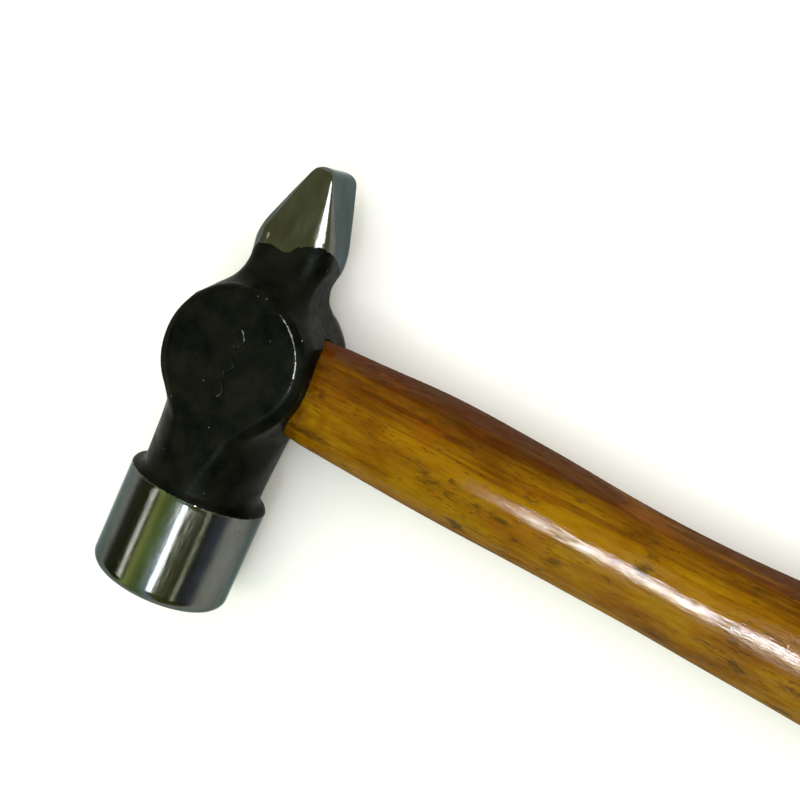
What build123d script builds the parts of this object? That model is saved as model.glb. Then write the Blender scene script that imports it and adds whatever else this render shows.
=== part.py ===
from build123d import *
import os
from math import asin, atan2, cos, hypot, sin

# Cross peen hammer: a forged steel head on a wooden handle, wedged into the eye.
#
# The hammer lies on one cheek. The origin is the centre of that cheek, straight under the
# middle of the eye. +X runs along the handle to the butt, +Y along the head to the peen,
# and +Z is up, out of the other cheek. All sizes are in millimetres.

# ---- head ----
CHEEK_HALF = 15.5             # the two flat cheeks lie this far either side of the head's axis
BOSS_RADIUS = 16.5            # round boss around the eye
BOSS_CENTRE_Y = 0.5           # the boss stands a little towards the peen
BOSS_BEVEL_OUT = 1.8          # the boss's edge falls away over this width
BOSS_BEVEL_DOWN = 1.3         # and this depth

FACE_RADIUS = 16.0            # round striking face
FACE_CROWN_END = -56.3        # crown of the striking face
FACE_CROWN_RISE = 0.8         # how far the crown stands out past its edge
FACE_EDGE_RADIUS = 2.6
SHOULDER_Y = -30.0            # the step from the neck to the face's cylinder
SHOULDER_RADIUS = 1.3
NECK_ROOT_RADIUS = 13.0       # where the shoulder meets the neck

# round neck between the boss and the face: distance along the head, half width, half height
NECK_STATIONS = ((0.0, 14.4, 18.6), (-8.0, 14.2, 18.0), (-17.0, 13.6, 17.2),
                 (-25.5, 13.35, 16.1), (-32.6, 13.7, 15.8))

PEEN_TIP_Y = 45.8             # end of the head on the peen's side
PEEN_TIP_RADIUS = 2.6         # rounding of the working edge
PEEN_HALF_EDGE = 8.5          # half the length of the working edge
PEEN_CORNER_RADIUS = 2.4      # rounding of the working edge's two ends
PEEN_BASE = (8.6, 30.4)       # where the wedge starts, half thickness and Y
PEEN_LAND = (9.0, 26.7)       # the thickest place behind it
PEEN_WAIST = (8.2, 21.0)      # the narrowest place between the boss and the peen
PEEN_ROOT = (13.8, 10.2)      # where the waist's hollow leaves the boss
PEEN_SHOULDER = (14.0, 13.6)  # where the hollow over the waist leaves the boss, Y and half height
PEEN_WAIST_ROUNDING = 1.0     # the forged waist's long edges
EDGE_SLACK = 0.1              # how far outside the waist an edge's end may read

# ---- eye and handle ----
BUTT_X = 303.5                # end of the handle
# the eye runs along X and flares towards both mouths: X, half width, half height
EYE_STATIONS = ((-20.0, 12.2, 9.4), (0.0, 11.1, 8.0), (18.0, 11.75, 9.8))
TENON_END_RADIUS = 16.3       # the tenon is dressed to the boss's curve, a hair below it

# shaft and grip: distance from the eye, sideways offset towards the peen, half width, half thickness
SHAFT_STATIONS = ((45.0, 0.05, 12.9, 10.2), (68.0, -0.4, 12.75, 10.3), (98.0, -1.3, 12.05, 10.0),
                  (138.0, -1.4, 13.6, 10.6), (180.0, -0.9, 15.0, 11.4), (222.0, -0.5, 15.5, 11.8),
                  (264.0, -0.4, 15.0, 11.6), (BUTT_X, -0.6, 14.8, 11.4))
BUTT_ROUNDING = 5.0

# ---- wedges ----
TENON_REACH = 20.0            # forms that are cut at the tenon's end start outside it
KERF_WIDTH = 1.0              # saw cut in the tenon
KERF_DEPTH_X = 7.0            # the cut ends here
WOOD_WEDGE_TOP = 3.6          # the wooden wedge's thickness outside the tenon's end
WOOD_WEDGE_TIP_X = 4.0        # and its tip, as thick as the kerf
STEEL_WEDGE_SPACING = 11.0    # the two steel wedges cross the wooden one
STEEL_WEDGE_WIDTH = 9.0
STEEL_WEDGE_TOP = 3.2
STEEL_WEDGE_TIP = 0.6
STEEL_WEDGE_TIP_X = -3.0

# ---- raised ornament on the upper cheek ----
LOZENGE_LONG = 4.8
LOZENGE_SHORT = 3.4
LOZENGE_PITCH = 5.8
LOZENGE_RISE = 0.3

MIDDLE = Plane.XY.offset(CHEEK_HALF)                      # holds the head's and handle's axes
HEAD_AXIS = Axis((0, 0, CHEEK_HALF), (0, 1, 0))


def across_head(y):
    """Plane across the head: its x is the object's X, its y is up."""
    return Plane(origin=(0, y, CHEEK_HALF), x_dir=(1, 0, 0), z_dir=(0, -1, 0))


def across_handle(x):
    """Plane across the handle: its x is the object's Y, its y is up."""
    return Plane(origin=(x, 0, CHEEK_HALF), x_dir=(0, 1, 0), z_dir=(1, 0, 0))


def wedge_tangent():
    """Point where the wedge's flat side meets the rounded tip, seen from above."""
    centre_y = PEEN_TIP_Y - PEEN_TIP_RADIUS
    base_half, base_y = PEEN_BASE
    reach = hypot(base_half, centre_y - base_y)
    slope = atan2(base_half, centre_y - base_y) - asin(PEEN_TIP_RADIUS / reach)
    return PEEN_TIP_RADIUS * cos(slope), centre_y + PEEN_TIP_RADIUS * sin(slope)


def on_waist(edge):
    """True for the waist's long edges, where its hollow sides meet the hollows over and under it."""
    ends = (edge.start_point().Y, edge.end_point().Y)
    inside = min(ends) > PEEN_SHOULDER[0] - EDGE_SLACK and max(ends) < PEEN_LAND[1] + EDGE_SLACK
    return inside and max(ends) - min(ends) > EDGE_SLACK


# The peen and its waist: the outline seen from above, crossed with the outline seen from the side.
with BuildPart() as peen_form:
    with BuildSketch(MIDDLE):
        with BuildLine():
            tangent_x, tangent_y = wedge_tangent()
            Line((0, 0), (PEEN_ROOT[0], 0))
            Line((PEEN_ROOT[0], 0), PEEN_ROOT)
            TangentArc(PEEN_WAIST, PEEN_ROOT, tangent=(0, -1))
            Line(PEEN_WAIST, PEEN_LAND)
            Line(PEEN_LAND, PEEN_BASE)
            Line(PEEN_BASE, (tangent_x, tangent_y))
            RadiusArc((tangent_x, tangent_y), (0, PEEN_TIP_Y), -PEEN_TIP_RADIUS)
            Line((0, PEEN_TIP_Y), (0, 0))
        make_face()
        mirror(about=Plane.YZ)
    extrude(amount=CHEEK_HALF, both=True)
    with BuildSketch(across_handle(0)):
        with BuildLine():
            Line((0, 0), (0, PEEN_SHOULDER[1]))
            Line((0, PEEN_SHOULDER[1]), PEEN_SHOULDER)
            hollow = TangentArc((PEEN_LAND[1], PEEN_HALF_EDGE), PEEN_SHOULDER, tangent=(-1, 0))
            Line(hollow @ 0, (PEEN_TIP_Y - PEEN_CORNER_RADIUS, PEEN_HALF_EDGE))
            RadiusArc((PEEN_TIP_Y - PEEN_CORNER_RADIUS, PEEN_HALF_EDGE),
                      (PEEN_TIP_Y, PEEN_HALF_EDGE - PEEN_CORNER_RADIUS), PEEN_CORNER_RADIUS)
            Line((PEEN_TIP_Y, PEEN_HALF_EDGE - PEEN_CORNER_RADIUS), (PEEN_TIP_Y, 0))
            Line((PEEN_TIP_Y, 0), (0, 0))
        make_face()
        mirror(about=Plane.XZ)
    extrude(amount=BOSS_RADIUS, both=True, mode=Mode.INTERSECT)
    fillet(edges().filter_by(on_waist), PEEN_WAIST_ROUNDING)

# The space inside the eye, which the tenon fills.
with BuildPart() as eye_form:
    for x, half_width, half_height in EYE_STATIONS:
        with BuildSketch(across_handle(x)):
            Ellipse(half_width, half_height)
    loft()

# The tenon and its wedges are dressed off where they stand out of this form.
with BuildPart() as dressed_form:
    with BuildSketch(Plane.XY):
        with Locations((0, BOSS_CENTRE_Y)):
            Circle(TENON_END_RADIUS)
            Rectangle(TENON_REACH, 2 * TENON_END_RADIUS, align=(Align.MIN, Align.CENTER))
    extrude(amount=2 * CHEEK_HALF)

with BuildPart() as hammer_head:
    with BuildSketch(Plane.XY):
        with Locations((0, BOSS_CENTRE_Y)):
            Circle(BOSS_RADIUS)
    extrude(amount=2 * CHEEK_HALF)
    for level in (-1, 0):
        rim = edges().filter_by(GeomType.CIRCLE).group_by(Axis.Z)[level]
        chamfer(rim, BOSS_BEVEL_DOWN, BOSS_BEVEL_OUT, reference=faces().filter_by(GeomType.CYLINDER)[0])
    for y, half_width, half_height in NECK_STATIONS:
        with BuildSketch(across_head(y)):
            Ellipse(half_width, half_height)
    loft()
    split(bisect_by=Plane.XY, keep=Keep.TOP)
    split(bisect_by=Plane.XY.offset(2 * CHEEK_HALF), keep=Keep.BOTTOM)
    with BuildSketch(MIDDLE):
        with BuildLine():
            edge_y = FACE_CROWN_END + FACE_CROWN_RISE
            TangentArc((0, FACE_CROWN_END), (FACE_RADIUS, edge_y), tangent=(1, 0))
            Line((FACE_RADIUS, edge_y), (FACE_RADIUS, SHOULDER_Y))
            Line((FACE_RADIUS, SHOULDER_Y), (NECK_ROOT_RADIUS, SHOULDER_Y))
            Line((NECK_ROOT_RADIUS, SHOULDER_Y), (0, SHOULDER_Y))
            Line((0, SHOULDER_Y), (0, FACE_CROWN_END))
        make_face()
        fillet(vertices().sort_by_distance((FACE_RADIUS, edge_y, 0))[0], FACE_EDGE_RADIUS)
        fillet(vertices().sort_by_distance((FACE_RADIUS, SHOULDER_Y, 0))[0], SHOULDER_RADIUS)
    revolve(axis=HEAD_AXIS)
    add(peen_form.part)
    add(eye_form.part, mode=Mode.SUBTRACT)
    with BuildSketch(Plane.XY.offset(2 * CHEEK_HALF)):
        with GridLocations(0, LOZENGE_PITCH, 1, 3):
            Polygon((LOZENGE_SHORT / 2, 0), (0, LOZENGE_LONG / 2), (-LOZENGE_SHORT / 2, 0),
                    (0, -LOZENGE_LONG / 2))
    extrude(amount=LOZENGE_RISE)

hammer_head.part.label = "hammer_head"

# The two steel wedges are alike and cross the wooden one.
steel_wedges = []
for label, side in (("steel_wedge_face_side", -1), ("steel_wedge_peen_side", 1)):
    with BuildPart() as steel_wedge:
        with BuildSketch(MIDDLE):
            with Locations((0, side * STEEL_WEDGE_SPACING / 2)):
                Polygon((-TENON_REACH, STEEL_WEDGE_TOP / 2), (-TENON_REACH, -STEEL_WEDGE_TOP / 2),
                        (STEEL_WEDGE_TIP_X, -STEEL_WEDGE_TIP / 2),
                        (STEEL_WEDGE_TIP_X, STEEL_WEDGE_TIP / 2), align=None)
        extrude(amount=STEEL_WEDGE_WIDTH / 2, both=True)
        add(dressed_form.part, mode=Mode.INTERSECT)
    steel_wedge.part.label = label
    steel_wedges.append(steel_wedge.part)

# Wooden wedge: as wide as the eye, tapering to the saw cut.
with BuildPart() as wood_wedge:
    with BuildSketch(across_head(0)):
        Polygon((-TENON_REACH, WOOD_WEDGE_TOP / 2), (-TENON_REACH, -WOOD_WEDGE_TOP / 2),
                (WOOD_WEDGE_TIP_X, -KERF_WIDTH / 2), (WOOD_WEDGE_TIP_X, KERF_WIDTH / 2), align=None)
    extrude(amount=BOSS_RADIUS, both=True)
    add(eye_form.part, mode=Mode.INTERSECT)
    add(dressed_form.part, mode=Mode.INTERSECT)
    add(steel_wedges, mode=Mode.SUBTRACT)
wood_wedge.part.label = "wood_wedge"

# Handle: the tenon fills the eye, and the shaft swells into the grip.
with BuildPart() as handle:
    add(eye_form.part)
    add(dressed_form.part, mode=Mode.INTERSECT)
    mouth_x, mouth_half_width, mouth_half_height = EYE_STATIONS[-1]
    mouth = (mouth_x, 0.0, mouth_half_width, mouth_half_height)
    for x, offset_y, half_width, half_height in (mouth,) + SHAFT_STATIONS:
        with BuildSketch(across_handle(x)):
            with Locations((offset_y, 0)):
                Ellipse(half_width, half_height)
    loft()
    fillet(faces().sort_by(Axis.X)[-1].edges(), BUTT_ROUNDING)
    with BuildSketch(MIDDLE):
        with Locations((KERF_DEPTH_X, 0)):
            Rectangle(KERF_DEPTH_X + TENON_REACH, 2 * BOSS_RADIUS, align=(Align.MAX, Align.CENTER))
    extrude(amount=KERF_WIDTH / 2, both=True, mode=Mode.SUBTRACT)
    add(wood_wedge.part, mode=Mode.SUBTRACT)
    add(steel_wedges, mode=Mode.SUBTRACT)
handle.part.label = "handle"

os.makedirs("parts", exist_ok=True)
export_step(hammer_head.part, "parts/hammer_head.step")
export_step(handle.part, "parts/handle.step")
export_step(wood_wedge.part, "parts/wood_wedge.step")
for steel_wedge_part in steel_wedges:
    export_step(steel_wedge_part, f"parts/{steel_wedge_part.label}.step")
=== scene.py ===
from math import cos, pi, radians, sin

import bpy
import numpy as np
from mathutils import Matrix, Vector


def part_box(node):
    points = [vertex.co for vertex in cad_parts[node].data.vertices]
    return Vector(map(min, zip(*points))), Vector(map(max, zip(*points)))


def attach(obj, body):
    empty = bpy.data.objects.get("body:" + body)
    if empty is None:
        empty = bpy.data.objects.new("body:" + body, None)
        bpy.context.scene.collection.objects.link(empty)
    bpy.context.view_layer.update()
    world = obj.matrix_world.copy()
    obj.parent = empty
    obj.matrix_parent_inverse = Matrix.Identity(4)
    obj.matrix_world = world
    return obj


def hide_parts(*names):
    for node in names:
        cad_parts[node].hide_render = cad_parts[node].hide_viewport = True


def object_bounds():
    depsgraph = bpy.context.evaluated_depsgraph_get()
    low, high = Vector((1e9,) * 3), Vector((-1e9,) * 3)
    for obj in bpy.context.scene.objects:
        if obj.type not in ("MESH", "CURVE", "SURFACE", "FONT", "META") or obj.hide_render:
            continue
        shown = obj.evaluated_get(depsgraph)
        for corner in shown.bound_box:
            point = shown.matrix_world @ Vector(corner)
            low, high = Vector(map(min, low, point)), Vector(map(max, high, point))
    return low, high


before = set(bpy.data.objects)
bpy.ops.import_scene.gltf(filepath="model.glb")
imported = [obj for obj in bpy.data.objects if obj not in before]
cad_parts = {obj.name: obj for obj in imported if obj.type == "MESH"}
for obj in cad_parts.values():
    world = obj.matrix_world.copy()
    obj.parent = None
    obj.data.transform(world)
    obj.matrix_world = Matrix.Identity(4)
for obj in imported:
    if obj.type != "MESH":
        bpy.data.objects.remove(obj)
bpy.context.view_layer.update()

# Cross peen hammer: a forged, part-polished head on a varnished handle, wedged into the eye.
# Shapes are worked out in millimetres in the axis frame: its X runs along the handle and its
# Y along the head, as in the row frame, but its origin is the middle of the eye.

MM = 0.001

head_low, head_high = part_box("hammer_head")
handle_low, handle_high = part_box("handle")
FACE_RADIUS = (head_high.z - head_low.z) / 2 / MM
AXIS_HEIGHT = (head_high.z + head_low.z) / 2 / MM
BOSS_RADIUS = (head_high.x - head_low.x) / 2 / MM
FACE_END = head_low.y / MM
PEEN_END = head_high.y / MM
BUTT = handle_high.x / MM

# ---- the head's own sizes ----
CHEEK = AXIS_HEIGHT                # the cheeks' flats lie this far from the axis
BOSS_Y = 0.5
DISC_Y = 1.3                       # the cheek's round flat is a little off the boss's middle
DISC_RADIUS = 14.5
DISC_EDGE = 0.45
BEVEL_SLOPE = radians(34)
CHEEK_EDGE = 0.35
CROWN_RADIUS = 160.0
FACE_EDGE = 2.6
SHOULDER = -30.0
SHOULDER_EDGE = 1.3
SHOULDER_FILLET = 1.3
NECK_ENDS = (SHOULDER - 0.5, 2.0)  # the neck runs on a little into the barrel and the boss
NECK_FILLET = 3.0
# the neck's Y, half width and half height
NECK_STATIONS = ((0.0, 14.4, 18.6), (-8.0, 14.2, 18.0), (-17.0, 13.6, 17.2),
                 (-25.5, 13.35, 16.1), (-32.6, 13.7, 15.8))
WEDGE_SLOPE = radians(24.2)
TIP_RADIUS = 2.6
HALF_EDGE = 8.6
CORNER = 2.4
FLANK_EDGE = 1.4
LAND = (9.25, 26.7)                # half thickness and Y of the peen's widest place
WAIST = (8.3, 21.0)
HOLLOW = (13.4, 10.8)              # radius and reach of the hollow between the boss and the waist
HOLLOW_OVER = (18.4, 12.6)         # and of the one over it
# the forged peen leans a little away from the handle, the ground edge stands straight: Y and lean
PEEN_LEAN = ((12, 0.0), (18, -0.45), (30, -0.36), (44, 0.0))
# its long edges are well rounded at the waist and crisp at the tip: Y and radius
PEEN_EDGES = ((16, 4.5), (22, 4.8), (27, 5.0), (31, 4.4), (38, 2.0), (44, 0.35))
PEEN_FILLET = 3.2
# the eye's X, half width along the head and half height
EYE_STATIONS = ((-20.0, 12.2, 9.4), (0.0, 11.1, 8.0), (18.0, 11.75, 9.8))
EYE_MOUTH = 0.35                   # rounding of the eye's mouths
UNEVEN = 0.035                     # depth of the hammered skin's waves
SKIN_END = (21, 27)                # Y where the waves begin to fade, and where they have gone
HEAD_PITCH = 0.42                  # spacing of the net that finds the head's surface

# ---- the ornament on the upper cheek, rounded diamonds in a row ----
LOZENGE_COUNT = 3
LOZENGE_PITCH = 5.8
LOZENGE_LONG = 4.8
LOZENGE_SHORT = 3.4
LOZENGE_RISE = 0.3
LOZENGE_SIDES = 24
LOZENGE_POWER = 1.15               # 1 gives sharp corners, 2 an ellipse

# ---- the handle's shaft ----
# its X, the Y of its middle, its half width and its half height
SHAFT_STATIONS = ((18.0, 0.0, 11.75, 9.8), (45.0, 0.05, 12.9, 10.2), (68.0, -0.4, 12.75, 10.3),
                  (98.0, -1.3, 12.05, 10.0), (138.0, -1.4, 13.6, 10.6), (180.0, -0.9, 15.0, 11.4),
                  (222.0, -0.5, 15.5, 11.8), (264.0, -0.4, 15.0, 11.6), (BUTT, -0.6, 14.8, 11.4))
SHAFT_START = -7.0                 # the shaft's stub ends here, hidden in the eye
SHAFT_FREE = 18.0                  # from here on the shaft is clear of the eye
STUB_GAP = 0.03
BUTT_ROUNDING = 5.0
SQUARENESS = 2.12                  # exponent of the oval, 2 is an ellipse
SHAFT_SIDES = 128
STUB_STEP = 1.5                    # spacing of the rings in the eye
FREE_RINGS = 190
BUTT_RINGS = 14

# ---- its tenon and the wedges. A gap is how far a piece stays clear of what is round it ----
TENON_END = 16.3                   # how far the tenon reaches from the boss's middle, towards -X
TENON_START = 7.0                  # the X of its hidden end
TENON_GAP = 0.06
TENON_EDGE = 0.5
SLOT_EDGE = 0.12                   # rounding where the wedges enter the tenon
KERF = 1.0
WOOD_WEDGE_TOP = 3.6
WOOD_WEDGE_TIP_X = 4.0
WOOD_WEDGE_GAP = 0.05
WOOD_WEDGE_EDGE = 0.2
STEEL_SPACING = 11.0
STEEL_WIDTH = 9.0
STEEL_TOP = 3.2
STEEL_TIP = 0.6
STEEL_TIP_X = -3.0
STEEL_GAP = 0.04
STEEL_EDGE = 0.3
STEEL_PROUD = 0.1                  # how far the steel wedges stand out of the wood
STEEL_END_EDGE = 0.35
TENON_BOX = ((-TENON_END, -13, -11), (TENON_START, 13, 11))
TENON_PITCH = 0.3                  # spacing of the net that finds the tenon's surface
STEEL_PITCH = 0.22

# ---- where a bright line runs along the cheek's rim, and where the black paint stops and the ground, bright steel starts ----
RIM_LINE_SIDE = radians(32)          # the side of the rim where the bright line runs, as an angle from +X towards +Y
BARREL_PAINT_END = -31.0
# round the peen: angle about the head's axis in degrees, from +X towards +Z, and the paint's end.
# The ground planes are a little skew, so the pattern repeats after half a turn.
PEEN_PAINT = ((-46, 25.0), (-38, 22.9), (-29, 24.8), (8, 27.9), (29, 29.2), (50, 30.0),
              (70, 28.9), (83, 27.6), (91, 26.0), (97, 25.8), (118, 26.1), (134, 25.0))


# ---------------------------------------------------------------- shapes as distances

def cut(a, b, rounding):
    """Distance of what is inside both a and b, with the edge between them rounded."""
    r = np.maximum(rounding, 1e-3)
    return np.minimum(-r, np.maximum(a, b)) + np.hypot(np.maximum(a + r, 0), np.maximum(b + r, 0))


def join(a, b, rounding):
    """Distance of a and b together, with a fillet between them."""
    return -cut(-a, -b, rounding)


def oval(u, v, half_u, half_v):
    """About the distance from an ellipse."""
    near = np.hypot(u / half_u, v / half_v)
    steep = np.maximum(np.hypot(u / half_u ** 2, v / half_v ** 2), 1e-6)
    return near * (near - 1) / steep


def through(stations, column, at):
    """Smooth curve through one column of a short list of stations, held level past its ends."""
    places = [s[0] for s in stations]
    curve = np.polyfit(places, [s[column] for s in stations], len(stations) - 1)
    return np.polyval(curve, np.clip(at, min(places), max(places)))


def hollow_side(y, half, start, hollow):
    """Half width that rises from half, at start, along a round hollow towards the boss."""
    radius, reach = hollow
    back = np.clip(start - y, 0, reach)
    return half + radius - np.sqrt(radius ** 2 - back ** 2)


def between(pairs, at):
    """Straight lines through a short list of places and values."""
    return np.interp(at, [place for place, _ in pairs], [value for _, value in pairs])


def eye(p):
    x, y, z = p.T
    return oval(y, z, through(EYE_STATIONS, 1, x), through(EYE_STATIONS, 2, x))


def peen(p):
    """The wedge with its rounded tip, swept back over the land and the waist to the boss."""
    x, y, z = p.T
    x = x - between(PEEN_LEAN, y)
    tip_y = PEEN_END - TIP_RADIUS
    from_tip = y - tip_y
    flank = np.abs(x) * cos(WEDGE_SLOPE) + from_tip * sin(WEDGE_SLOPE) - TIP_RADIUS
    round_tip = np.hypot(x, from_tip) - TIP_RADIUS
    wedge = np.where(np.arctan2(from_tip, np.abs(x)) > WEDGE_SLOPE, round_tip, flank)
    land_share = np.clip((y - WAIST[1]) / (LAND[1] - WAIST[1]), 0, 1)
    land = (LAND[0] - WAIST[0]) * land_share ** 2 * (3 - 2 * land_share)
    side = np.abs(x) - hollow_side(y, WAIST[0], WAIST[1], HOLLOW) - land
    outline = cut(wedge, side, FLANK_EDGE)
    over = np.abs(z) - hollow_side(y, HALF_EDGE, LAND[1], HOLLOW_OVER)
    profile = cut(over, y - PEEN_END, CORNER)
    return np.maximum(cut(outline, profile, between(PEEN_EDGES, y)), -y)


def striking_end(p):
    """The barrel, its slightly crowned face and its shoulder."""
    x, y, z = p.T
    barrel = np.hypot(x, z) - FACE_RADIUS
    crown = np.sqrt(x ** 2 + z ** 2 + (y - FACE_END - CROWN_RADIUS) ** 2) - CROWN_RADIUS
    return cut(cut(barrel, crown, FACE_EDGE), y - SHOULDER, SHOULDER_EDGE)


def head_distance(p):
    """The whole forging: boss, neck, peen and barrel, less the eye."""
    x, y, z = p.T
    neck = oval(x, z, through(NECK_STATIONS, 1, y), through(NECK_STATIONS, 2, y))
    neck = np.maximum(neck, np.maximum(NECK_ENDS[0] - y, y - NECK_ENDS[1]))
    level = np.abs(z) - CHEEK
    wall = np.hypot(x, y - BOSS_Y) - BOSS_RADIUS
    rim = np.hypot(x, y - DISC_Y) - DISC_RADIUS
    boss = cut(wall, level * cos(BEVEL_SLOPE) + rim * sin(BEVEL_SLOPE), DISC_EDGE)
    forging = join(join(boss, neck, NECK_FILLET), peen(p), PEEN_FILLET)
    # the hammered skin is very slightly uneven where it isn't ground
    skin = (np.sin(0.31 * x + 1.1) * np.sin(0.27 * y + 0.4) + np.sin(0.52 * y + 0.61 * z)
            + 0.5 * np.sin(0.9 * x - 0.7 * z + 2))
    fade = np.clip((SKIN_END[1] - y) / (SKIN_END[1] - SKIN_END[0]), 0, 1)
    forging = cut(forging + UNEVEN * skin * fade, level, CHEEK_EDGE)
    forging = join(forging, striking_end(p), SHOULDER_FILLET)
    return cut(forging, -eye(p), EYE_MOUTH)


def tenon_form(p):
    """What fills the eye, dressed off to the boss's curve at the far end."""
    x, y, _ = p.T
    dressed = np.maximum(np.hypot(x, y - BOSS_Y) - TENON_END, x - TENON_START)
    return cut(eye(p) + TENON_GAP, dressed, TENON_EDGE)


def wedge_slab(x, across, top, tip, tip_x):
    """A flat wedge that thins along +X, from top at the boss's edge to tip at tip_x."""
    share = (tip_x - x) / (tip_x + TENON_END)
    return np.maximum(np.abs(across) - (tip + (top - tip) * share) / 2, x - tip_x)


def wooden_wedge(p):
    x, _, z = p.T
    return wedge_slab(x, z, WOOD_WEDGE_TOP, KERF, WOOD_WEDGE_TIP_X)


def steel_wedge(p, side):
    x, y, z = p.T
    slab = wedge_slab(x, y - side * STEEL_SPACING / 2, STEEL_TOP, STEEL_TIP, STEEL_TIP_X)
    return cut(slab, np.abs(z) - STEEL_WIDTH / 2, STEEL_EDGE)


def tenon_distance(p):
    """The tenon, with room for its kerf and its three wedges."""
    x, _, z = p.T
    slot = np.maximum(np.abs(z) - KERF / 2, x - TENON_START)
    taken = np.minimum(wooden_wedge(p), slot)
    for side in (-1, 1):
        taken = np.minimum(taken, steel_wedge(p, side))
    return cut(tenon_form(p), -taken, SLOT_EDGE)


def wooden_wedge_distance(p):
    """The wooden wedge, dressed off with the tenon and cut by the steel ones."""
    taken = np.minimum(steel_wedge(p, -1), steel_wedge(p, 1)) - STEEL_GAP
    whole = cut(tenon_form(p) + WOOD_WEDGE_GAP, wooden_wedge(p) + WOOD_WEDGE_GAP, WOOD_WEDGE_EDGE)
    return cut(whole, -taken, WOOD_WEDGE_EDGE / 2)


def steel_wedge_distance(p, side):
    """A steel wedge, standing a little proud of the wood."""
    x, y, _ = p.T
    end = np.hypot(x, y - BOSS_Y) - TENON_END - STEEL_PROUD
    return cut(steel_wedge(p, side) + STEEL_GAP, end, STEEL_END_EDGE)


# ---------------------------------------------------------------- meshes

def slope_of(distance, points):
    """Gradient of a distance at each point."""
    reach = 0.02
    slope = np.zeros_like(points)
    for axis in range(3):
        step = np.zeros(3)
        step[axis] = reach
        slope[:, axis] = (distance(points + step) - distance(points - step)) / (2 * reach)
    return slope


def unit_normals(distance, points):
    slope = slope_of(distance, points)
    return slope / np.maximum(np.linalg.norm(slope, axis=1), 1e-9)[:, None]


def onto_surface(points, distance, turns=3):
    """Moves points along the gradient until the distance is zero."""
    for _ in range(turns):
        slope = slope_of(distance, points)
        size = np.maximum((slope ** 2).sum(1), 0.05)
        step = distance(points) / size
        points = points - np.clip(step, -0.3, 0.3)[:, None] * slope
    return points


def surface_net(distance, low, high, pitch, evening=5):
    """Closed quad mesh of the surface where a distance is zero, evened out along the surface."""
    axes = [np.arange(low[i] - 2 * pitch, high[i] + 3 * pitch, pitch) for i in range(3)]
    counts = [len(a) for a in axes]
    grid = np.stack(np.meshgrid(*axes, indexing="ij"), -1).reshape(-1, 3)
    value = np.concatenate([distance(part) for part in np.array_split(grid, 12)])
    value = value.reshape(counts)
    strides = np.array([counts[1] * counts[2], counts[2], 1])
    cell_ids, crossings, rings = [], [], []
    for axis in range(3):
        before = np.take(value, range(counts[axis] - 1), axis)
        after = np.take(value, range(1, counts[axis]), axis)
        start = np.argwhere((before < 0) != (after < 0))
        a = before[tuple(start.T)]
        b = after[tuple(start.T)]
        point = start.astype(float)
        point[:, axis] += a / (a - b)
        u = strides[(axis + 1) % 3]
        v = strides[(axis + 2) % 3]
        here = start @ strides
        ring = np.stack([here - u - v, here - v, here, here - u], 1)
        outward = a < 0
        ring = np.where(outward[:, None], ring, ring[:, ::-1])
        rings.append(ring)
        cell_ids.append(ring.ravel())
        crossings.append(np.repeat(point, 4, 0))
    cells, vertex = np.unique(np.concatenate(cell_ids), return_inverse=True)
    crossings = np.concatenate(crossings)
    tally = np.bincount(vertex, minlength=len(cells))
    points = np.stack([np.bincount(vertex, crossings[:, i], len(cells)) for i in range(3)], 1)
    points = points / tally[:, None] * pitch + np.array([a[0] for a in axes])
    quads = vertex.reshape(-1, 4)
    points = onto_surface(points, distance)
    ends = np.concatenate([quads[:, [i, (i + 1) % 4]] for i in range(4)])
    degree = np.bincount(ends[:, 0], minlength=len(points))
    for _ in range(evening):
        middle = np.stack([np.bincount(ends[:, 0], points[ends[:, 1], i], len(points))
                           for i in range(3)], 1) / degree[:, None]
        points = onto_surface(points + 0.6 * (middle - points), distance, 1)
    return onto_surface(points, distance, 2), quads


def placed(points):
    """Points of the axis frame, in millimetres, as places in the row frame, in metres."""
    return (np.asarray(points) + (0, 0, AXIS_HEIGHT)) * MM


def make_piece(name, points, faces, normals=None):
    """Smooth mesh object from points in the axis frame."""
    mesh = bpy.data.meshes.new(name)
    mesh.from_pydata(placed(points).tolist(), [], faces)
    mesh.shade_smooth()
    if normals is not None:
        mesh.normals_split_custom_set_from_vertices(normals.tolist())
    piece = bpy.data.objects.new(name, mesh)
    bpy.context.scene.collection.objects.link(piece)
    return piece


def implicit_piece(name, distance, low, high, pitch):
    """Smooth mesh object of the surface where a distance is zero."""
    points, quads = surface_net(distance, low, high, pitch)
    return make_piece(name, points, quads.tolist(), unit_normals(distance, points))


def keep_values(piece, name, values):
    """Stores one number for each vertex, for the material to read."""
    attribute = piece.data.attributes.new(name, "FLOAT", "POINT")
    attribute.data.foreach_set("value", np.asarray(values, np.float32))


def bare_depth(points):
    """How far, in millimetres, each point lies inside the ground steel. Negative in the paint."""
    x, y, z = points.T
    first = PEEN_PAINT[0][0]
    angle = (np.degrees(np.arctan2(z, x)) - first) % 180 + first
    on_peen = y - between(PEEN_PAINT, angle)
    on_barrel = BARREL_PAINT_END - y
    return np.where(y > 0, on_peen, on_barrel)


def rim_places(points):
    """Distance from the cheek's rim, and how much a point lies on the side where the bright line
    runs.
    """
    x, y, z = points.T
    reach = np.hypot(x, y - DISC_Y)
    gap = np.where(np.abs(z) > CHEEK - 1, reach - DISC_RADIUS, 9.0)
    toward = (x * cos(RIM_LINE_SIDE) + (y - DISC_Y) * sin(RIM_LINE_SIDE)) / np.maximum(reach, 1)
    return gap, toward


def edge_sharpness(points, normals, distance, reach=0.8):
    """How strongly the surface bends away round each point: high along outer edges."""
    below = distance(points - normals * reach)
    return np.clip(1 + below / reach, 0, 1)


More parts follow.
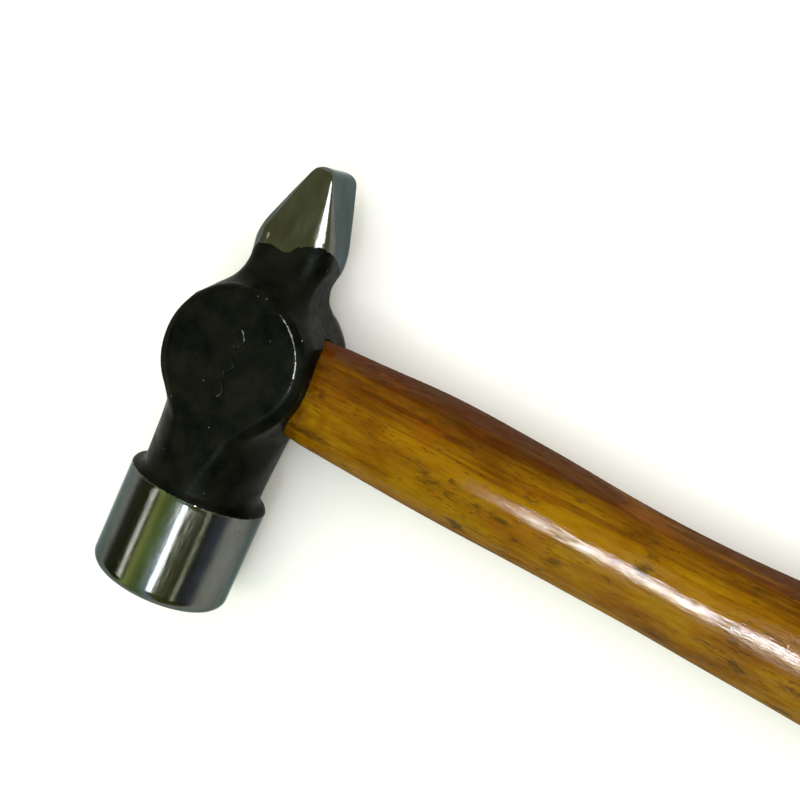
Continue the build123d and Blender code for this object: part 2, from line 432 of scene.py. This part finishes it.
def lozenges():
    """Points, faces and wear of the small raised lozenges, which have bevelled edges."""
    # each ring: its size, its height over the cheek, and how far its paint is rubbed off
    rings = ((1.0, -0.4, 0.1), (1.0, 0.12, 0.2), (0.93, 0.22, 0.62),
             (0.8, LOZENGE_RISE, 0.6), (0.5, LOZENGE_RISE, 0.3))
    sides = LOZENGE_SIDES
    points, faces, paint_off = [], [], []
    for i in range(LOZENGE_COUNT):
        middle = (i - (LOZENGE_COUNT - 1) / 2) * LOZENGE_PITCH
        first = len(points)
        for share, height, wear in rings:
            paint_off.extend([wear] * sides)
            for k in range(sides):
                turn = 2 * pi * k / sides
                corner = abs(cos(turn)) ** LOZENGE_POWER + abs(sin(turn)) ** LOZENGE_POWER
                reach = share * corner ** (-1 / LOZENGE_POWER)
                points.append((LOZENGE_SHORT / 2 * reach * cos(turn),
                               middle + LOZENGE_LONG / 2 * reach * sin(turn), CHEEK + height))
        for level in range(len(rings) - 1):
            for k in range(sides):
                a = first + level * sides + k
                b = first + level * sides + (k + 1) % sides
                faces.append((a, b, b + sides, a + sides))
        faces.append(tuple(first + (len(rings) - 1) * sides + k for k in range(sides)))
        faces.append(tuple(first + sides - 1 - k for k in range(sides)))
    return points, faces, paint_off


def make_head():
    """The forging with its lozenges, and the numbers that its material reads."""
    low = (-BOSS_RADIUS, FACE_END, -FACE_RADIUS)
    high = (BOSS_RADIUS, PEEN_END, FACE_RADIUS)
    points, quads = surface_net(head_distance, low, high, HEAD_PITCH)
    normals = unit_normals(head_distance, points)
    # the handle covers the eye's mouths, so their edges keep their paint
    clear_of_eye = np.clip(np.abs(eye(points)) - 0.6, 0, 1)
    sharp = edge_sharpness(points, normals, head_distance) * clear_of_eye
    raised, raised_faces, paint_off = lozenges()
    faces = quads.tolist() + [[len(points) + i for i in face] for face in raised_faces]
    # a normal of zero length leaves the lozenges their own shading
    every_normal = np.concatenate([normals, np.zeros((len(raised), 3))])
    piece = make_piece("hammer_head_forging", np.concatenate([points, raised]), faces, every_normal)
    keep_values(piece, "bare", np.concatenate([bare_depth(points), np.full(len(raised), -9.0)]))
    rim_gap, toward = rim_places(np.concatenate([points, raised]))
    keep_values(piece, "rim", rim_gap)
    keep_values(piece, "toward", toward)
    keep_values(piece, "edge", np.concatenate([sharp, paint_off]))
    return piece


def shaft_sections():
    """Places along the shaft and, at each, the oval's offset, half width and half height."""
    places = np.array([s[0] for s in SHAFT_STATIONS])
    stub = np.arange(SHAFT_START, SHAFT_FREE, STUB_STEP)
    free = np.linspace(SHAFT_FREE, BUTT - BUTT_ROUNDING, FREE_RINGS)
    # the rings of the rounded butt draw closer together towards its end
    rounded = BUTT - BUTT_ROUNDING * (1 - np.sin(np.linspace(0.06, 1, BUTT_RINGS) * pi / 2))
    along = np.concatenate([stub, free, rounded])
    columns = []
    for column in (1, 2, 3):
        values = np.array([s[column] for s in SHAFT_STATIONS])
        slopes = np.gradient(values, places)
        index = np.clip(np.searchsorted(places, along) - 1, 0, len(places) - 2)
        width = places[index + 1] - places[index]
        t = np.clip((along - places[index]) / width, 0, 1)
        smooth = ((2 * t ** 3 - 3 * t ** 2 + 1) * values[index]
                  + (t ** 3 - 2 * t ** 2 + t) * width * slopes[index]
                  + (3 * t ** 2 - 2 * t ** 3) * values[index + 1]
                  + (t ** 3 - t ** 2) * width * slopes[index + 1])
        if column > 1:
            in_eye = through(EYE_STATIONS, column - 1, along) - STUB_GAP
            smooth = np.where(along < SHAFT_FREE - 0.5, in_eye, smooth)
            past = np.clip((along - BUTT + BUTT_ROUNDING) / BUTT_ROUNDING, 0, 1)
            smooth = smooth - BUTT_ROUNDING * (1 - np.sqrt(1 - past ** 2))
        columns.append(smooth)
    return along, columns


def close_end(points, faces, edge, at_butt):
    """Fills an end of the shaft with shrinking rings and a small middle face."""
    middle = points[edge].mean(0)
    rim = points[edge]
    previous = edge
    for share in (0.75, 0.5, 0.25, 0.08):
        new = list(range(len(points), len(points) + len(edge)))
        points = np.concatenate([points, middle + (rim - middle) * share])
        for k in range(len(edge)):
            after = (k + 1) % len(edge)
            quad = (previous[k], new[k], new[after], previous[after])
            faces.append(quad[::-1] if at_butt else quad)
        previous = new
    faces.append(tuple(previous) if at_butt else tuple(previous[::-1]))
    return points


def make_shaft():
    """The varnished shaft, from its stub in the eye to the butt."""
    along, (offset, half_width, half_height) = shaft_sections()
    turn = np.linspace(0, 2 * pi, SHAFT_SIDES, endpoint=False)
    power = 2 / SQUARENESS
    oval_y = np.sign(np.cos(turn)) * np.abs(np.cos(turn)) ** power
    oval_z = np.sign(np.sin(turn)) * np.abs(np.sin(turn)) ** power
    x = np.repeat(along[:, None], SHAFT_SIDES, 1)
    # drawknife and sanding leave the surface very slightly uneven, clear of the eye
    wave = (np.sin(x * 0.11 + 2 * turn) * 0.07 + np.sin(x * 0.057 - 3 * turn + 1) * 0.06
            + np.sin(x * 0.23 + 5 * turn + 2) * 0.02)
    free = np.clip((x - 20) / 15, 0, 1)
    shrink = 1 - free * (0.1 + wave) / 12
    y = offset[:, None] + half_width[:, None] * oval_y * shrink
    z = half_height[:, None] * oval_z * shrink
    points = np.stack([x, y, z], -1).reshape(-1, 3)
    faces = []
    for i in range(len(along) - 1):
        for k in range(SHAFT_SIDES):
            a = i * SHAFT_SIDES + k
            b = i * SHAFT_SIDES + (k + 1) % SHAFT_SIDES
            faces.append((a, b, b + SHAFT_SIDES, a + SHAFT_SIDES))
    last = (len(along) - 1) * SHAFT_SIDES
    points = close_end(points, faces, list(range(SHAFT_SIDES)), False)
    points = close_end(points, faces, list(range(last, last + SHAFT_SIDES)), True)
    return make_piece("handle_shaft", points, faces)


# ---------------------------------------------------------------- materials

class Nodes:
    """Short hand for building one material's nodes. Texture scales are in features per metre."""

    def __init__(self, name):
        self.material = bpy.data.materials.new(name)
        self.material.use_nodes = True
        self.tree = self.material.node_tree
        self.shader = self.tree.nodes["Principled BSDF"]
        self.place = self.tree.nodes.new("ShaderNodeTexCoord").outputs["Object"]

    def set(self, **values):
        for name, value in values.items():
            self.shader.inputs[name.replace("_", " ")].default_value = value

    def link(self, source, target):
        self.tree.links.new(source, target)

    def feed(self, source, name):
        self.link(source, self.shader.inputs[name])

    def put(self, socket, value):
        if isinstance(value, (int, float, tuple)):
            socket.default_value = value
        else:
            self.link(value, socket)

    def scaled(self, x, y, z, shift=(0, 0, 0)):
        """Object coordinates times a scale for each axis."""
        node = self.tree.nodes.new("ShaderNodeMapping")
        node.inputs["Scale"].default_value = (x, y, z)
        node.inputs["Location"].default_value = shift
        self.link(self.place, node.inputs["Vector"])
        return node.outputs["Vector"]

    def noise(self, vector, detail, roughness=0.5, distortion=0.0):
        node = self.tree.nodes.new("ShaderNodeTexNoise")
        node.inputs["Scale"].default_value = 1.0
        node.inputs["Detail"].default_value = detail
        node.inputs["Roughness"].default_value = roughness
        node.inputs["Distortion"].default_value = distortion
        self.link(vector, node.inputs["Vector"])
        return node.outputs["Fac"]

    def cells(self, vector):
        """Distance from the nearest of many scattered points."""
        node = self.tree.nodes.new("ShaderNodeTexVoronoi")
        node.inputs["Scale"].default_value = 1.0
        self.link(vector, node.inputs["Vector"])
        return node.outputs["Distance"]

    def value(self, name):
        """A number that make_head has kept for each vertex."""
        node = self.tree.nodes.new("ShaderNodeAttribute")
        node.attribute_name = name
        return node.outputs["Fac"]

    def axis(self, name):
        node = self.tree.nodes.new("ShaderNodeSeparateXYZ")
        self.link(self.place, node.inputs["Vector"])
        return node.outputs[name]

    def math(self, operation, a, b=0.0):
        node = self.tree.nodes.new("ShaderNodeMath")
        node.operation = operation
        self.put(node.inputs[0], a)
        self.put(node.inputs[1], b)
        return node.outputs["Value"]

    def fit(self, value, low, high, new_low=0.0, new_high=1.0):
        """Moves a range of values smoothly onto another, and holds it level past the ends."""
        node = self.tree.nodes.new("ShaderNodeMapRange")
        node.interpolation_type = "SMOOTHSTEP"
        self.link(value, node.inputs["Value"])
        for name, number in (("From Min", low), ("From Max", high),
                             ("To Min", new_low), ("To Max", new_high)):
            node.inputs[name].default_value = number
        return node.outputs["Result"]

    def mix(self, share, a, b):
        """Colour a where the share is 0 and colour b where it is 1."""
        node = self.tree.nodes.new("ShaderNodeMix")
        node.data_type = "RGBA"
        self.put(node.inputs["Factor"], share)
        for socket, colour in ((node.inputs["A"], a), (node.inputs["B"], b)):
            if isinstance(colour, tuple) and len(colour) == 3:
                colour = colour + (1.0,)
            self.put(socket, colour)
        return node.outputs["Result"]

    def colours(self, value, *stops):
        """Colour ramp through stops, each (place, colour)."""
        node = self.tree.nodes.new("ShaderNodeValToRGB")
        ramp = node.color_ramp
        while len(ramp.elements) < len(stops):
            ramp.elements.new(0.5)
        for element, (place, colour) in zip(ramp.elements, stops):
            element.position = place
            element.color = colour + (1.0,)
        self.link(value, node.inputs["Fac"])
        return node.outputs["Color"]

    def bump(self, *layers, onto="Normal"):
        """Stacks bump layers, each (height, strength, depth in metres)."""
        below = None
        for height, strength, depth in layers:
            node = self.tree.nodes.new("ShaderNodeBump")
            node.inputs["Strength"].default_value = strength
            node.inputs["Distance"].default_value = depth
            self.link(height, node.inputs["Height"])
            if below is not None:
                self.link(below, node.inputs["Normal"])
            below = node.outputs["Normal"]
        self.feed(below, onto)


class SkyNodes(Nodes):
    """The same short hand for the world, where a place is a direction."""

    def __init__(self, name):
        self.world = bpy.data.worlds.new(name)
        self.world.use_nodes = True
        self.tree = self.world.node_tree
        self.shader = self.tree.nodes["Background"]
        self.place = self.tree.nodes.new("ShaderNodeTexCoord").outputs["Generated"]


def forged_head_material():
    """Black paint over a forged skin, and bare ground steel with a polish on both ends."""
    n = Nodes("forged_head")
    ragged = n.noise(n.scaled(1800, 900, 1800), 3)
    ragged = n.math("MULTIPLY", n.math("SUBTRACT", ragged, 0.5), 0.9)
    bare = n.fit(n.math("ADD", n.value("bare"), ragged), -0.06, 0.1)

    # paint
    cloud = n.noise(n.scaled(180, 180, 180), 5)
    paint = n.colours(cloud, (0.34, (0.0012, 0.0015, 0.0010)), (0.66, (0.0058, 0.0066, 0.0040)))
    grit = n.noise(n.scaled(2600, 2600, 2600), 3, 0.6)
    lumps = n.noise(n.scaled(520, 520, 520), 3)
    fleck = n.noise(n.scaled(900, 900, 900, shift=(0.7, 0.2, 0.9)), 2, 0.4)
    fleck_zone = n.fit(n.noise(n.scaled(110, 110, 110, shift=(3.1, 1.7, 5.2)), 2), 0.46, 0.6)
    chip = n.math("MULTIPLY", n.fit(fleck, 0.745, 0.785), fleck_zone)
    worn_noise = n.noise(n.scaled(700, 700, 700), 4)
    worn = n.fit(n.math("MULTIPLY", n.value("edge"), worn_noise), 0.36, 0.44)
    # a bright line of bare steel is drawn along the cheek's rim, only on the side of the handle and
    # the peen
    from_rim = n.math("ABSOLUTE", n.math("SUBTRACT", n.value("rim"), -0.05))
    breaks = n.noise(n.scaled(620, 620, 620), 5, 0.7)
    thin = n.fit(n.math("ADD", from_rim, n.math("MULTIPLY", breaks, 0.9)), 0.58, 0.44)
    toward = n.fit(n.value("toward"), 0.80, 0.90)
    paint_off = n.math("MULTIPLY", thin, toward)
    # chips, worn edges and the rim's bright line all show as bare steel
    bare_marks = n.math("MAXIMUM", n.math("MULTIPLY", chip, 0.45), n.math("MULTIPLY", worn, 0.4))
    bare_marks = n.math("MAXIMUM", bare_marks, n.math("MULTIPLY", paint_off, 0.34))

    # ground steel: fine scratches along the head, a few long ones, and faint stains
    fine = n.noise(n.scaled(9000, 260, 9000), 2)
    coarse = n.noise(n.scaled(2400, 60, 2400), 2)
    stain = n.noise(n.scaled(210, 90, 210), 5, 0.6)
    steel = n.colours(stain, (0.3, (0.072, 0.074, 0.060)), (0.5, (0.098, 0.101, 0.092)),
                      (0.72, (0.122, 0.126, 0.128)))
    steel = n.mix(n.fit(coarse, 0.6, 0.72, 0.0, 0.35), steel, (0.045, 0.045, 0.032))
    dots = n.fit(n.cells(n.scaled(560, 560, 560, shift=(0.4, 0.2, 0.7))), 0.20, 0.08)
    dot_zone = n.fit(n.noise(n.scaled(160, 160, 160, shift=(2.0, 0.3, 1.1)), 3), 0.44, 0.60)
    dots = n.math("MULTIPLY", n.math("MULTIPLY", dots, dot_zone), 0.7)
    steel = n.mix(dots, steel, (0.040, 0.036, 0.030))

    shine = n.math("MAXIMUM", bare, bare_marks)
    paint_with_bare_marks = n.mix(bare_marks, paint, (0.30, 0.31, 0.29))
    n.feed(n.mix(bare, paint_with_bare_marks, steel), "Base Color")
    n.feed(shine, "Metallic")
    paint_rough = n.fit(lumps, 0.3, 0.7, 0.28, 0.42)
    steel_rough = n.fit(fine, 0.3, 0.7, 0.07, 0.15)
    rough = n.mix(bare, paint_rough, steel_rough)
    n.feed(rough, "Roughness")
    skin = n.math("MULTIPLY", n.math("SUBTRACT", 1.0, bare), n.math("ADD", grit, lumps))
    scratch = n.math("MULTIPLY", bare, n.math("ADD", fine, n.math("MULTIPLY", coarse, 0.6)))
    step = n.math("SUBTRACT", 1.0, bare)
    n.set(Specular_IOR_Level=0.02, Specular_Tint=(0.44, 0.50, 0.52, 1.0))
    n.bump((skin, 0.5, 0.00010), (scratch, 0.5, 0.000015), (step, 0.5, 0.00006))
    return n.material


def varnished_wood_material():
    """Amber varnish over long grain, with a red-brown streak that is partly heartwood and partly
    painted shade on the side towards the peen, and dark stains.
    """
    n = Nodes("varnished_wood")
    warp = n.noise(n.scaled(13, 60, 60), 3)
    grain = n.noise(n.scaled(30, 800, 800), 4, 0.6, distortion=0.4)
    fibre = n.noise(n.scaled(160, 4200, 4200), 3, 0.65)
    cloud = n.noise(n.scaled(42, 120, 120, shift=(0.3, 0.8, 0.1)), 5, 0.6)

    amber = n.colours(cloud, (0.30, (0.085, 0.030, 0.0004)), (0.44, (0.165, 0.068, 0.0005)),
                      (0.58, (0.215, 0.104, 0.0008)), (0.74, (0.150, 0.086, 0.0014)))
    wood = n.mix(n.fit(grain, 0.46, 0.70, 0.0, 0.5), amber, (0.100, 0.032, 0.0005))
    wood = n.mix(n.fit(fibre, 0.5, 0.78, 0.0, 0.55), wood, (0.058, 0.020, 0.0005))

    # red-brown darkening along the side towards the peen: partly heartwood, partly painted shade on
    # the side away from the light
    side = n.math("MULTIPLY", n.axis("Y"), 80.0)
    side = n.math("ADD", side, n.math("MULTIPLY", n.math("SUBTRACT", warp, 0.5), 1.5))
    side = n.math("ADD", side, n.math("MULTIPLY", n.math("SUBTRACT", grain, 0.5), 0.9))
    heartwood_and_shade = n.fit(side, -0.05, 0.80)
    wood = n.mix(n.math("MULTIPLY", heartwood_and_shade, 0.95), wood, (0.042, 0.0085, 0.0004))

    # dark pores drawn out along the grain, and stains
    pores = n.fit(n.cells(n.scaled(260, 1500, 1500)), 0.26, 0.08)
    pore_zone = n.fit(n.noise(n.scaled(70, 200, 200), 3), 0.44, 0.62)
    pores = n.math("MULTIPLY", pores, pore_zone)
    wood = n.mix(n.math("MULTIPLY", pores, 0.8), wood, (0.022, 0.009, 0.001))
    smear = n.noise(n.scaled(95, 240, 240, shift=(1.3, 0.4, 2.2)), 6, 0.72)
    wood = n.mix(n.fit(smear, 0.53, 0.66, 0.0, 0.84), wood, (0.040, 0.021, 0.002))
    flush = n.noise(n.scaled(48, 150, 150, shift=(5.1, 2.4, 0.7)), 4, 0.6)
    wood = n.mix(n.fit(flush, 0.54, 0.72, 0.0, 0.6), wood, (0.160, 0.044, 0.0005))
    # the wood is darker towards the end that meets the steel
    near_head = n.fit(n.axis("X"), 0.030, 0.0165)
    ragged = n.fit(n.noise(n.scaled(260, 260, 260), 4), 0.3, 0.62)
    wood = n.mix(n.math("MULTIPLY", n.math("MULTIPLY", near_head, ragged), 0.6), wood,
                 (0.07, 0.016, 0.001))
    # the butt shows end grain
    butt = n.fit(n.axis("X"), (BUTT - 1.8) * MM, (BUTT - 0.5) * MM)
    bend = n.noise(n.scaled(90, 90, 90), 3)
    rings = n.math("ADD", n.math("MULTIPLY", n.axis("Z"), 2900.0), n.math("MULTIPLY", bend, 11.0))
    end_grain = n.mix(n.fit(n.math("SINE", rings), -0.5, 0.9), (0.150, 0.070, 0.006),
                      (0.070, 0.027, 0.002))
    wood = n.mix(n.math("MULTIPLY", butt, 0.8), wood, end_grain)
    n.feed(wood, "Base Color")
    n.feed(n.fit(fibre, 0.3, 0.7, 0.36, 0.55), "Roughness")
    # the varnish is worn thin in lines along the grain
    n.feed(n.fit(fibre, 0.47, 0.58, 0.13, 0.02), "Coat Weight")
    n.set(Coat_Roughness=0.05, Coat_IOR=2.0, Specular_IOR_Level=0.0)
    ripple = n.noise(n.scaled(420, 3000, 3000), 4, 0.65)
    slow = n.noise(n.scaled(60, 330, 330), 3)
    layers = ((slow, 0.5, 0.00003), (ripple, 0.8, 0.000034))
    n.bump((fibre, 0.3, 0.00003), *layers)
    n.bump(*layers, onto="Coat Normal")
    return n.material


def end_grain_material(name, light, dark, varnish):
    """Wood cut across the grain: growth rings, fine specks and pores."""
    n = Nodes(name)
    wander = n.noise(n.scaled(60, 120, 120), 3)
    across = n.math("ADD", n.math("MULTIPLY", n.axis("Z"), 900.0), n.math("MULTIPLY", wander, 7.0))
    rings = n.math("SINE", across)
    pores = n.fit(n.cells(n.scaled(1500, 2600, 2600)), 0.22, 0.1)
    speck = n.noise(n.scaled(500, 3000, 3000), 3)
    wood = n.mix(n.fit(rings, -0.6, 0.9), light, dark)
    wood = n.mix(n.fit(speck, 0.4, 0.7, 0.0, 0.4), wood, dark)
    wood = n.mix(n.math("MULTIPLY", pores, 0.6), wood, (0.03, 0.015, 0.006))
    n.feed(wood, "Base Color")
    n.feed(n.fit(speck, 0.3, 0.7, 0.45, 0.7), "Roughness")
    n.set(Coat_Weight=varnish, Coat_Roughness=0.2)
    n.bump((n.math("SUBTRACT", speck, pores), 0.5, 0.00008), (rings, 0.25, 0.00005))
    return n.material


def wedge_steel_material():
    """Rolled steel, hammered on its end: dull, pitted, with some rust in the pits."""
    n = Nodes("wedge_steel")
    pits = n.noise(n.scaled(1300, 1300, 1300), 4, 0.6)
    rust = n.noise(n.scaled(420, 420, 420), 5, 0.6)
    lines = n.noise(n.scaled(300, 5200, 5200), 2)
    steel = n.mix(n.fit(lines, 0.35, 0.65), (0.30, 0.295, 0.28), (0.16, 0.155, 0.145))
    rusted = n.fit(rust, 0.56, 0.68)
    n.feed(n.mix(n.math("MULTIPLY", rusted, 0.8), steel, (0.10, 0.035, 0.012)), "Base Color")
    n.feed(n.math("SUBTRACT", 1.0, n.math("MULTIPLY", rusted, 0.8)), "Metallic")
    n.feed(n.fit(pits, 0.3, 0.7, 0.3, 0.6), "Roughness")
    n.bump((pits, 0.6, 0.00008), (lines, 0.2, 0.00003))
    return n.material


# ---------------------------------------------------------------- pieces

def finish_piece(piece, material, node):
    piece.data.materials.append(material)
    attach(piece, "root")
    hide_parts(node)


def build_head():
    finish_piece(make_head(), forged_head_material(), "hammer_head")


def build_handle():
    """The shaft and the tenon are one stick of wood, with and without varnish."""
    finish_piece(make_shaft(), varnished_wood_material(), "handle")
    end_grain = end_grain_material("tenon_end_grain", (0.30, 0.15, 0.03), (0.14, 0.055, 0.010), 0.3)
    tenon = implicit_piece("handle_tenon", tenon_distance, *TENON_BOX, TENON_PITCH)
    finish_piece(tenon, end_grain, "handle")


def build_wedges():
    pale = end_grain_material("wedge_end_grain", (0.42, 0.27, 0.12), (0.26, 0.14, 0.05), 0.0)
    wooden = implicit_piece("wood_wedge_driven", wooden_wedge_distance, *TENON_BOX, TENON_PITCH)
    finish_piece(wooden, pale, "wood_wedge")
    wedge_steel = wedge_steel_material()
    for side, name in ((-1, "steel_wedge_face_side"), (1, "steel_wedge_peen_side")):
        middle = side * STEEL_SPACING / 2
        low = (-TENON_END, middle - 2, -5)
        high = (STEEL_TIP_X, middle + 2, 5)
        driven = implicit_piece(name + "_driven", lambda p, s=side: steel_wedge_distance(p, s),
                                low, high, STEEL_PITCH)
        finish_piece(driven, wedge_steel, name)


# ---------------------------------------------------------------- studio

AIM = (33.5, 7.1, 0.0)             # what the camera looks at, in the axis frame
CAMERA_AZIMUTH = radians(40.8)     # direction from the aim to the camera
CAMERA_ELEVATION = radians(74.0)
CAMERA_DISTANCE = 322.6
CAMERA_ROLL = radians(25.4)        # the picture's up leans this far from +Y towards -X
LENS = 67.5
SENSOR = 36
FLOOR_HALF = 60.0                  # in metres, so that its edge is far beyond the picture

# overhead light by direction, from -X (0) to +X (1)
SKY_STOPS = ((0.0, (0.20, 0.21, 0.16)), (0.10, (0.08, 0.08, 0.02)), (0.20, (0.18, 0.19, 0.05)),
             (0.25, (1.3, 1.5, 0.45)), (0.34, (0.55, 0.78, 0.18)), (0.44, (0.62, 0.95, 0.42)),
             (0.53, (0.9, 1.25, 1.5)), (0.60, (0.36, 0.40, 0.07)), (0.80, (0.20, 0.21, 0.05)),
             (0.92, (0.13, 0.12, 0.14)), (1.0, (0.36, 0.44, 0.62)))


def direction(azimuth, elevation):
    return Vector((cos(elevation) * cos(azimuth), cos(elevation) * sin(azimuth), sin(elevation)))


def make_camera():
    camera = bpy.data.objects.new("camera", bpy.data.cameras.new("camera"))
    bpy.context.scene.collection.objects.link(camera)
    aim = Vector(placed(AIM))
    back = direction(CAMERA_AZIMUTH, CAMERA_ELEVATION)
    hint = Vector((-sin(CAMERA_ROLL), cos(CAMERA_ROLL), 0))
    right = hint.cross(back).normalized()
    up = back.cross(right)
    turn = Matrix((right, up, back)).transposed().to_4x4()
    camera.matrix_world = Matrix.Translation(aim + back * CAMERA_DISTANCE * MM) @ turn
    camera.data.lens = LENS
    camera.data.sensor_width = SENSOR
    camera.data.clip_start = 0.01
    bpy.context.scene.camera = camera


def make_light(name, place, size, power, colour, along=(1, 0, 0), gloss_only=False):
    """Rectangular soft box that faces the hammer, with its first side laid along a direction."""
    lamp = bpy.data.lights.new(name, "AREA")
    lamp.shape = "RECTANGLE"
    lamp.size, lamp.size_y = size
    lamp.energy = power
    lamp.color = colour
    light = bpy.data.objects.new(name, lamp)
    back = (Vector(place) - Vector(placed(AIM))).normalized()
    first = (Vector(along) - back * back.dot(Vector(along))).normalized()
    turn = Matrix((first, back.cross(first), back)).transposed().to_4x4()
    light.matrix_world = Matrix.Translation(place) @ turn
    light.visible_diffuse = not gloss_only
    bpy.context.scene.collection.objects.link(light)


def make_ceiling():
    """Light from the whole ceiling, which evens out the floor and isn't seen in the steel."""
    lamp = bpy.data.lights.new("ceiling", "SUN")
    lamp.energy = 3.5
    lamp.angle = radians(110)
    lamp.color = (1.0, 0.98, 1.0)
    light = bpy.data.objects.new("ceiling", lamp)
    light.visible_glossy = False
    light.rotation_euler = (radians(-22), 0, 0)
    bpy.context.scene.collection.objects.link(light)


def make_sky():
    """Soft room light: olive overhead, banded over the face's side, and pale near the horizon."""
    n = SkyNodes("room")
    bpy.context.scene.world = n.world
    sweep = n.math("ADD", n.math("MULTIPLY", n.axis("X"), 0.5), 0.5)
    bands = n.colours(sweep, *SKY_STOPS)
    face_side = n.fit(n.axis("Y"), -0.20, -0.30)
    overhead = n.mix(face_side, (0.52, 0.54, 0.26), bands)
    above = n.fit(n.axis("Z"), 0.02, 0.16)
    n.feed(n.mix(above, (0.90, 0.90, 0.92), overhead), "Color")
    n.set(Strength=1.0)


def make_floor():
    """Plain pale floor under the hammer."""
    half = FLOOR_HALF
    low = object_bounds()[0][2]
    mesh = bpy.data.meshes.new("floor")
    corners = [(-half, -half, low), (half, -half, low), (half, half, low), (-half, half, low)]
    mesh.from_pydata(corners, [], [(0, 1, 2, 3)])
    floor = bpy.data.objects.new("floor", mesh)
    bpy.context.scene.collection.objects.link(floor)
    n = Nodes("pale_floor")
    faint = n.noise(n.scaled(6, 6, 6), 3)
    n.feed(n.mix(faint, (0.795, 0.785, 0.83), (0.825, 0.815, 0.86)), "Base Color")
    n.set(Roughness=0.75, Specular_IOR_Level=0.2)
    mesh.materials.append(n.material)


def make_studio():
    make_camera()
    make_floor()
    make_sky()
    make_ceiling()
    # highlights on the handle, the striking end and the peen
    make_light("handle_key", (0.285, -0.20, 1.0), (0.61, 0.06), 29.0, (1.0, 0.99, 0.985),
               gloss_only=True)
    make_light("face_key", (0.20, -0.40, 1.0), (0.10, 0.15), 1.2, (0.86, 0.92, 1.0))
    make_light("peen_key", (0.50, 0.10, 0.84), (0.75, 0.26), 8.5, (0.92, 0.92, 1.0),
               gloss_only=True)
    # strips along the head, one on each side of the barrel
    make_light("left_strip", (-0.68, -0.33, 0.69), (0.5, 0.07), 0.8, (1.0, 0.98, 0.90),
               along=(0, 1, 0))
    make_light("right_strip", (0.74, -0.33, 0.62), (0.5, 0.03), 0.24, (0.90, 1.0, 0.70),
               along=(0, 1, 0))
    bpy.context.scene.view_settings.view_transform = "Standard"


build_head()
build_handle()
build_wedges()
make_studio()
